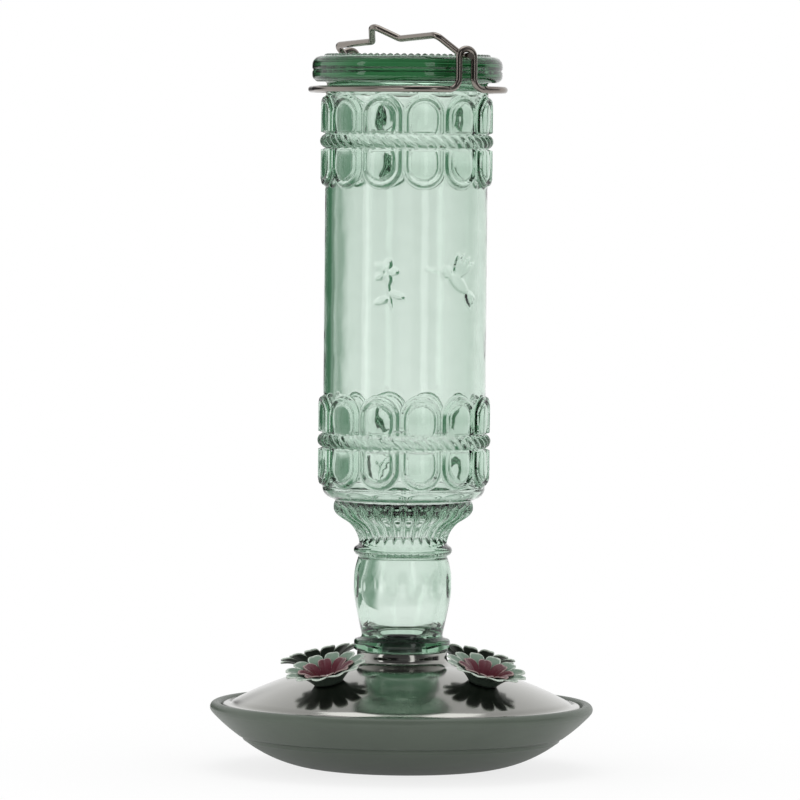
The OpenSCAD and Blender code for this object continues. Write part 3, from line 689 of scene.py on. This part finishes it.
def wire_tree(material):
    """A round wire swept along a path of points, with closed ends."""
    tree = new_group("bent_wire", {"Wire Radius": 1.15}, takes_mesh=True)
    given = add(tree, "NodeGroupInput")
    path = add(tree, "GeometryNodeMeshToCurve", links={"Mesh": given.outputs["Geometry"]})
    ring = add(tree, "GeometryNodeCurvePrimitiveCircle", {"Resolution": 20},
               {"Radius": given.outputs["Wire Radius"]}, mode="RADIUS")
    tube = add(tree, "GeometryNodeCurveToMesh", {"Fill Caps": True},
               {"Curve": path.outputs[0], "Profile Curve": ring.outputs[0]})
    real = add(tree, "GeometryNodeRealizeInstances", links={0: tube.outputs[0]})
    smooth = add(tree, "GeometryNodeSetShadeSmooth", links={0: real.outputs[0]})
    painted = add(tree, "GeometryNodeSetMaterial", {"Material": material}, {"Geometry": smooth.outputs[0]})
    add(tree, "NodeGroupOutput", links={"Geometry": painted.outputs[0]})
    return tree


def bent_path(points, radii, gap=0.5):
    """Points along a flat path with a bend radius at each inner point."""
    pts = [np.array(p, float) for p in points]
    out = [pts[0]]
    for corner, before, after, radius in zip(pts[1:], pts, pts[2:], radii[1:]):
        a, b = before - corner, after - corner
        a, b = a / np.linalg.norm(a), b / np.linalg.norm(b)
        half = math.acos(max(-1, min(1, float(a @ b)))) / 2
        cut = radius / math.tan(half)
        start, end = corner + a * cut, corner + b * cut
        centre = corner + (a + b) / np.linalg.norm(a + b) * (radius / math.sin(half))
        bend = math.pi - 2 * half
        n = max(3, int(radius * bend / gap))
        u, w = (start - centre) / radius, (end - centre) / radius
        for t in (k / n for k in range(n + 1)):
            spoke = (math.sin((1 - t) * bend) * u + math.sin(t * bend) * w) / math.sin(bend)
            out.append(centre + radius * spoke)
    out.append(pts[-1])
    return out


def turn_z(points, degrees):
    """Points turned about the upright axis."""
    c, s = math.cos(math.radians(degrees)), math.sin(math.radians(degrees))
    return [(c * x - s * y, s * x + c * y, z) for x, y, z in points]


def sweep(name, points, radius, material, closed=False):
    """A wire along a path, as a plain mesh."""
    mesh = bpy.data.meshes.new(name + "_path")
    edges = [(i, i + 1) for i in range(len(points) - 1)] + ([(len(points) - 1, 0)] if closed else [])
    mesh.from_pydata([tuple(p) for p in points], edges, [])
    obj = realise(name, wire_tree(material), {"Wire Radius": radius}, mesh)
    obj.data.transform(Matrix.Scale(MM, 4))
    return obj


def collar_path():
    """The collar's closed path: two ears, joined by two half hoops that lie in the groove."""
    ear_half, ear_h, foot_r, crest_r, hoop_r, shoulder_r = 3.05, 13.8, 4.0, 2.85, 50.0, 14.0
    side = ear_half + foot_r
    slope = math.radians(25)
    peak = HOOP_HALF + hoop_r * (1 / math.cos(slope) - 1)
    shoulder = peak - WIRE_REACH * math.tan(slope)
    ear = bent_path([(side, 0), (ear_half, 0), (ear_half, ear_h), (-ear_half, ear_h), (-ear_half, 0),
                     (-side, 0)], [0, foot_r, crest_r, crest_r, foot_r, 0])
    half = bent_path([(WIRE_REACH, side), (WIRE_REACH, shoulder), (0, peak), (-WIRE_REACH, shoulder),
                      (-WIRE_REACH, side)], [0, shoulder_r, hoop_r, shoulder_r, 0])
    part = [(WIRE_REACH, -x, HOOP_Z + y) for x, y in ear] + [(x, y, HOOP_Z) for x, y in half[1:-1]]
    return turn_z(part, EAR_TURN) + turn_z(part, EAR_TURN + 180)


def bail_path():
    """The bail's path: arms from both ears to a crossbar with a bend for the hook in its middle. It
    leans back, and one end sits lower in its ear than the other."""
    arm, hook, hook_h, bar, ear_r, end_r = 11.4, 8.8, 7.7, 31.6, 34.9, 39.5
    flat = bent_path([(-end_r, 0), (-ear_r, 0), (-bar, arm), (-hook, arm), (0, arm + hook_h), (hook, arm),
                      (bar, arm), (ear_r, 0), (end_r, 0)], [0, 1.6, 3, 2.2, 3.4, 2.2, 3, 1.6, 0])
    lean = math.radians(90 + BAIL_LEAN)
    tilt = -math.asin(BAIL_DROP / (2 * WIRE_REACH))
    leant = [(x, y * math.cos(lean), y * math.sin(lean)) for x, y in flat]
    c, s = math.cos(tilt), math.sin(tilt)
    return turn_z([(c * x + s * z, y, -s * x + c * z + BAIL_Z) for x, y, z in leant], EAR_TURN)


# The studio

def studio_world():
    """The camera and matt surfaces see a plain world. Glass sees a white wall with three dark green
    cards standing round, and polished metal sees the same wall, dim on the photograph's side."""
    cards, card_turn, card_green = 3, 30, (0.075, 0.21, 0.12, 1)
    world = bpy.data.worlds.new("studio")
    world.use_nodes = True
    tree = world.node_tree
    tree.nodes.clear()
    path = add(tree, "ShaderNodeLightPath").outputs
    way = add(tree, "ShaderNodeTexCoord").outputs["Generated"]
    x, y, z = add(tree, "ShaderNodeSeparateXYZ", links={0: way}).outputs
    compass = add(tree, "ShaderNodeMath", links={0: x, 1: y}, operation="ARCTAN2")
    turns = add(tree, "ShaderNodeMath", {1: float(cards), 2: math.radians(cards * card_turn)},
                {0: compass.outputs[0]}, operation="MULTIPLY_ADD")
    wave = add(tree, "ShaderNodeMath", links={0: turns.outputs[0]}, operation="COSINE")
    # Each shade goes from one value to another as its source goes from low to high
    shades = {}
    for name, source, low, high, start, end, how in (
            ("card", wave.outputs[0], 0.3, 0.75, 0.0, 0.97, "SMOOTHSTEP"),
            ("card top", z, 0.15, 0.35, 1.0, 0.0, "SMOOTHSTEP"),
            ("card foot", z, -0.2, -0.09, 0.0, 1.0, "SMOOTHSTEP"),
            ("ceiling", z, 0.15, 0.5, 1.0, 0.1, "SMOOTHSTEP"),
            ("floor glow", z, -0.05, 0.0, 1.0, 0.84, "LINEAR"),
            ("dim front", y, -0.6, 0.25, 0.1, 1.0, "SMOOTHSTEP"),
            ("dim top", z, 0.3, 0.9, 1.0, 0.6, "LINEAR")):
        ramp = add(tree, "ShaderNodeMapRange",
                   {"From Min": low, "From Max": high, "To Min": start, "To Max": end},
                   {"Value": source}, interpolation_type=how)
        shades[name] = ramp.outputs[0]
    dark = shades["card"]
    for name in ("card top", "card foot"):
        dark = add(tree, "ShaderNodeMath", links={0: dark, 1: shades[name]}, operation="MULTIPLY").outputs[0]
    wall = add(tree, "ShaderNodeMath", {0: 1.0}, {1: dark}, operation="SUBTRACT").outputs[0]
    seen = {"glass": wall, "metal": wall}
    for surface, name in (("glass", "ceiling"), ("glass", "floor glow"), ("metal", "dim front"),
                          ("metal", "dim top")):
        both = add(tree, "ShaderNodeMath", links={0: seen[surface], 1: shades[name]}, operation="MULTIPLY")
        seen[surface] = both.outputs[0]
    plain = add(tree, "ShaderNodeBackground", {"Color": WHITE, "Strength": 0.85})
    room = add(tree, "ShaderNodeBackground", {"Color": WHITE}, {"Strength": seen["metal"]})
    leaves = add(tree, "ShaderNodeMix", {6: card_green, 7: WHITE}, {0: seen["glass"]}, data_type="RGBA")
    garden = add(tree, "ShaderNodeBackground", {"Strength": 1.0}, {"Color": leaves.outputs[2]})
    white = add(tree, "ShaderNodeBackground", {"Color": WHITE, "Strength": 1.0})
    shader = plain.outputs[0]
    for ray, light in (("Is Glossy Ray", room), ("Is Transmission Ray", garden), ("Is Camera Ray", white)):
        mix = add(tree, "ShaderNodeMixShader", links={0: path[ray], 1: shader, 2: light.outputs[0]})
        shader = mix.outputs[0]
    add(tree, "ShaderNodeOutputWorld", links={0: shader})
    return world


def studio_floor():
    """A sheet of white paper that keeps a soft shadow near the piece and melts into the background.
    Polished surfaces see less of its glow."""
    half, depth = 600, -0.3
    material, tree, spot = new_material("studio_floor_paper")
    path = add(tree, "ShaderNodeLightPath").outputs
    paper = add(tree, "ShaderNodeBsdfDiffuse", {"Color": (0.9, 0.9, 0.9, 1)})
    glow = add(tree, "ShaderNodeEmission", {"Color": WHITE, "Strength": 1.0})
    direct = add(tree, "ShaderNodeMath", links={0: path["Is Camera Ray"], 1: path["Is Transmission Ray"]},
                 operation="MAXIMUM")
    seen = add(tree, "ShaderNodeMath", {1: 0.4}, {0: path["Is Glossy Ray"], 2: direct.outputs[0]},
               operation="MULTIPLY_ADD")
    far = add(tree, "ShaderNodeVectorMath", links={0: spot}, operation="LENGTH")
    clear = add(tree, "ShaderNodeMapRange", {"From Min": 0.06, "From Max": 0.22, "To Min": 0.8},
                {"Value": far.outputs["Value"]}, interpolation_type="SMOOTHSTEP")
    share = add(tree, "ShaderNodeMath", links={0: seen.outputs[0], 1: clear.outputs[0]},
                operation="MULTIPLY")
    mix = add(tree, "ShaderNodeMixShader", links={0: share.outputs[0], 1: paper.outputs[0],
                                                  2: glow.outputs[0]})
    add(tree, "ShaderNodeOutputMaterial", links={"Surface": mix.outputs[0]})
    corners = [(x * half, y * half, depth) for x, y in ((-1, -1), (1, -1), (1, 1), (-1, 1))]
    return mesh_object("studio_floor", corners, [(0, 1, 2, 3)], material, False)


# Settings

def colour(name, description, default):
    """A colour that a user can change."""
    return bpy.props.FloatVectorProperty(name=name, description=description, subtype="COLOR", size=4,
                                         default=default, min=0, max=1)


class FeederGlass(bpy.types.PropertyGroup):
    tint: colour("Tint", "Colour that the glass keeps over depth", (0.26, 0.58, 0.37, 1.0))
    density: bpy.props.FloatProperty(
        name="Density", description="How strongly a metre of glass absorbs", default=72.0, min=0)


class FeederMetal(bpy.types.PropertyGroup):
    tray: colour("Tray", "Enamel on the tray", linear("#4f594e"))
    tray_worn: colour("Tray, pale", "Paler cloud in the tray's enamel", linear("#5e685c"))
    cover: colour("Cover", "Plate on the cover", linear("#a3a39e"))
    wire: colour("Wire", "Plate on the wire", linear("#8d867f"))
    wire_d: bpy.props.FloatProperty(
        name="Wire diameter", description="Diameter of the wire in millimetres", default=2.3, min=1)


class FeederFlowers(bpy.types.PropertyGroup):
    outer: colour("Outer petals", "Enamel on the outer petals", linear("#687f6e"))
    inner: colour("Inner petals", "Enamel on the inner petals", linear("#521222"))
    outer_petals: bpy.props.IntProperty(
        name="Outer count", description="Petals in the outer cup", default=12, min=5)
    inner_petals: bpy.props.IntProperty(
        name="Inner count", description="Petals in the inner cup", default=8, min=5)


class FeederStudio(bpy.types.PropertyGroup):
    distance: bpy.props.FloatProperty(
        name="Distance", description="Distance of the camera from the axis", default=2.2, unit="LENGTH")
    elevation: bpy.props.FloatProperty(
        name="Elevation", description="Camera height angle at the tray", default=math.radians(5.07),
        subtype="ANGLE", unit="ROTATION")
    roll: bpy.props.FloatProperty(
        name="Roll", description="Turn of the camera about its view", default=math.radians(0.55),
        subtype="ANGLE", unit="ROTATION")


# Operators

class FEEDER_OT_tray(bpy.types.Operator):
    """Turns the enamelled tray with its rolled rim"""
    bl_idname = "feeder.tray"
    bl_label = "Tray"

    def execute(self, context):
        metal = context.scene.feeder_metal
        enamel = baked_enamel("satin_enamel", metal.tray, metal.tray_worn, 0.38)
        bowl_w = TRAY_BOWL_R - FOOT_R
        bowl_arc_r = (bowl_w ** 2 + TRAY_BOWL_H ** 2) / (2 * TRAY_BOWL_H)
        end = math.degrees(math.asin(bowl_w / bowl_arc_r))
        rib = [(0.4, 0.25), (0.65, 0.7), (0.5, 1.2), (0.6, 1.5), (1.1, 1.7), (2.1, 1.8)]
        outside = [(0, 0)] + arc(FOOT_R, bowl_arc_r, bowl_arc_r, -90, end - 90, 16)
        outside += [(TRAY_BOWL_R + r, TRAY_BOWL_H + z) for r, z in rib]
        outside += curve(outside[-1], (61.65, 14.9), (65.7, 19.2), 8)
        bead = arc(RIM_R - BEAD_R, TRAY_H - BEAD_R, BEAD_R, -50, 205, 22)
        inside = arc(FOOT_R, bowl_arc_r, bowl_arc_r - TRAY_SHEET, end - 90, -90, 16) + [(0, TRAY_SHEET)]
        tray = turned("tray_enamel", outside + bead + [(55.94, 12.05)] + inside, enamel)
        place(tray, "base", "tray_enamel", "tray")
        return {"FINISHED"}


class FEEDER_OT_cover(bpy.types.Operator):
    """Turns the plated cover, and finishes the socket in it and the seal ring"""
    bl_idname = "feeder.cover"
    bl_label = "Cover"

    def execute(self, context):
        metal = context.scene.feeder_metal
        fillet_r = BOSS_R + BOSS_FILLET

        def line(t):
            """The cover's outside, or its inside when t is the sheet's thickness."""
            side = [(COVER_R - t, COVER_FOOT_Z)]
            side += arc(COVER_R - COVER_CORNER_R, LEDGE_Z - COVER_CORNER_R, COVER_CORNER_R - t, 0, 90, 5)
            side += [(DOME_EDGE_R + 0.65, LEDGE_Z - t), (DOME_EDGE_R, DOME_EDGE_Z - t)]
            reaches = [DOME_EDGE_R + (fillet_r - DOME_EDGE_R) * i / 20 for i in range(1, 21)]
            side += [(r, dome_z(r) - t) for r in reaches]
            side += arc(fillet_r, dome_z(BOSS_R) + BOSS_FILLET, BOSS_FILLET + t, 250, 180, 8)
            return side + [(BOSS_R - t, BOSS_TOP - BOSS_CHAMFER), (BOSS_R - max(t, BOSS_CHAMFER), BOSS_TOP)]
        plate = plated_metal("dark_nickel_plate", metal.cover, 0.12, 25.0)
        cover = turned("cover_plate", line(0) + line(COVER_SHEET)[::-1], plate)
        place(cover, "base", "cover_plate", "cover")
        for node, material in (("socket", moulded_plastic("black_abs", linear("#141516"), 0.3)),
                               ("seal_ring", moulded_plastic("black_rubber", linear("#1b1b1b"), 0.6))):
            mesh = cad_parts[node].data
            mesh.materials.clear()
            mesh.materials.append(material)
        return {"FINISHED"}


class FEEDER_OT_bottle(bpy.types.Operator):
    """Presses the glass bottle with its bands, flutes, rope and raised figures"""
    bl_idname = "feeder.bottle"
    bl_label = "Bottle"

    def execute(self, context):
        glass = context.scene.feeder_glass
        bottle = bottle_mesh(pressed_glass(glass.tint, glass.density))
        place(bottle, "bottle", "green_glass", "bottle")
        return {"FINISHED"}


class FEEDER_OT_wire(bpy.types.Operator):
    """Bends the wire collar and the bail"""
    bl_idname = "feeder.wire"
    bl_label = "Wire"

    def execute(self, context):
        metal = context.scene.feeder_metal
        plate = plated_metal("antique_nickel_wire", metal.wire, 0.16, 3.3333)
        collar = sweep("collar_wire", collar_path(), metal.wire_d / 2, plate, closed=True)
        place(collar, "bottle", "wire", "wire_collar")
        bail = sweep("bail_wire", bail_path(), metal.wire_d / 2, plate)
        place(bail, "bail", "wire", "bail")
        return {"FINISHED"}


class FEEDER_OT_flowers(bpy.types.Operator):
    """Stamps the petal cups and sets the eyelets"""
    bl_idname = "feeder.flowers"
    bl_label = "Flowers"

    def execute(self, context):
        flowers = context.scene.feeder_flowers
        # Each enamel's second colour is painted shade for its down-turned faces; the third is the pale of its
        # worn edges
        sage = petal_enamel("sage_enamel", flowers.outer, linear("#3a453c"), linear("#c9d4c8"))
        wine = petal_enamel("burgundy_enamel", flowers.inner, linear("#2a0b13"), linear("#a8918e"))
        bright = plated_metal("bright_nickel_eyelet", linear("#d6d4ce"), 0.15, 3.3333)
        cups = (("outer", "sage_enamel", petal_tree(sage),
                 {"Petals": flowers.outer_petals, "Hub Radius": 5.0, "Reach": 14.2, "Base": 0.4,
                  "Rise": 5.85, "Notch": 0.42, "Cup": 0.35, "Crease": 0.12}),
                ("inner", "burgundy_enamel", petal_tree(wine),
                 {"Petals": flowers.inner_petals, "Hub Radius": 3.5, "Reach": 9.8, "Base": 1.05,
                  "Rise": 5.55, "Notch": 0.12, "Cup": 0.3, "Crease": 0.35}))
        rivet = [(1.5, -1.85), (2.9, -1.85), (2.9, -1.45), (2.0, -1.45), (2.0, 1.45), (2.9, 1.45),
                 (2.9, 1.75), (2.5, 2.05), (1.9, 2.05), (1.5, 1.8)]
        lean = Matrix.Rotation(math.asin(FLOWER_REACH / DOME_R), 4, "Y")
        out = Matrix.Translation((FLOWER_REACH * MM, 0, dome_z(FLOWER_REACH) * MM))
        for i in range(FLOWERS):
            spot = Matrix.Rotation(math.radians(FLOWER_TURN + 360 / FLOWERS * i), 4, "Z") @ out @ lean
            for kind, slot, tree, sizes in cups:
                cup = realise(f"{kind}_petals_{i + 1}_enamel", tree, sizes)
                cup.data.transform(spot @ Matrix.Scale(MM, 4))
                sheet = cup.modifiers.new("sheet", "SOLIDIFY")
                sheet.thickness = PETAL_SHEET * MM
                sheet.offset = 0
                solid = evaluated_mesh(cup)
                cup.modifiers.clear()
                cup.data = solid
                place(cup, "base", slot, f"{kind}_petals_{i + 1}")
            eyelet = turned(f"feed_eyelet_{i + 1}_plate", rivet, bright, 48)
            eyelet.data.transform(spot)
            place(eyelet, "base", "eyelet_plate", f"feed_eyelet_{i + 1}")
        return {"FINISHED"}


class FEEDER_OT_studio(bpy.types.Operator):
    """Sets the floor, the pale surroundings, the lamps and the camera"""
    bl_idname = "feeder.studio"
    bl_label = "Studio"

    def execute(self, context):
        studio = context.scene.feeder_studio
        scene = context.scene
        scene.view_settings.view_transform = "Standard"
        scene.world = studio_world()
        studio_floor()
        # Name, place and size in metres, and power in watts
        for name, at, size, power in (
                ("softbox_left", (-1.4, -0.85, 0.45), (0.3, 1.3), 2.2),
                ("softbox_right", (0.75, -1.45, 0.45), (0.3, 1.3), 1.8),
                ("softbox_top", (0.0, 0.2, 1.6), (1.2, 1.2), 6.0)):
            lamp = bpy.data.lights.new(name, "AREA")
            lamp.shape = "RECTANGLE"
            lamp.size, lamp.size_y = size
            lamp.energy = power
            obj = link_object(name, lamp)
            obj.location = at
            obj.rotation_euler = (Vector((0, 0, 0.1)) - Vector(at)).to_track_quat("-Z", "Y").to_euler()

        # The picture is view_w metres wide at the piece's axis; shift moves the camera to its left
        view_w, shift, sensor_w = 0.2775, 0.0015, 36
        aim = Vector((0.0, 0.0, 0.1279))
        eye = Vector((0.0, -studio.distance, 0.02 + studio.distance * math.tan(studio.elevation)))
        camera = bpy.data.cameras.new("camera")
        camera.sensor_width = sensor_w
        camera.lens = sensor_w * (aim - eye).length / view_w
        camera.clip_end = 50
        look = (aim - eye).to_track_quat("-Z", "Y").to_matrix().to_4x4()
        obj = link_object("camera", camera)
        obj.matrix_world = Matrix.Translation(eye) @ look @ Matrix.Rotation(studio.roll, 4, "Z")
        obj.location = obj.location - look.to_3x3() @ Vector((shift, 0, 0))
        scene.camera = obj
        return {"FINISHED"}


OPERATORS = ("tray", "cover", "bottle", "wire", "flowers", "studio")


class FEEDER_PT_panel(bpy.types.Panel):
    """Lists the feeder's settings and operators"""
    bl_label = "Hummingbird Feeder"
    bl_idname = "FEEDER_PT_panel"
    bl_space_type = "VIEW_3D"
    bl_region_type = "UI"
    bl_category = "Feeder"

    def draw(self, context):
        for name in GROUPS:
            group = getattr(context.scene, name)
            for prop in group.__annotations__:
                self.layout.prop(group, prop)
        for name in OPERATORS:
            self.layout.operator("feeder." + name)


CLASSES = (FeederGlass, FeederMetal, FeederFlowers, FeederStudio, FEEDER_OT_tray, FEEDER_OT_cover,
           FEEDER_OT_bottle, FEEDER_OT_wire, FEEDER_OT_flowers, FEEDER_OT_studio, FEEDER_PT_panel)
GROUPS = {"feeder_glass": FeederGlass, "feeder_metal": FeederMetal, "feeder_flowers": FeederFlowers,
          "feeder_studio": FeederStudio}


def register():
    for cls in CLASSES:
        bpy.utils.register_class(cls)
    for name, group in GROUPS.items():
        setattr(bpy.types.Scene, name, bpy.props.PointerProperty(type=group))


def unregister():
    for name in GROUPS:
        delattr(bpy.types.Scene, name)
    for cls in reversed(CLASSES):
        bpy.utils.unregister_class(cls)


def main():
    register()
    bpy.ops.feeder.tray()
    bpy.ops.feeder.cover()
    bpy.ops.feeder.bottle()
    bpy.ops.feeder.wire()
    bpy.ops.feeder.flowers()
    bpy.ops.feeder.studio()


if __name__ == "__main__":
    main()
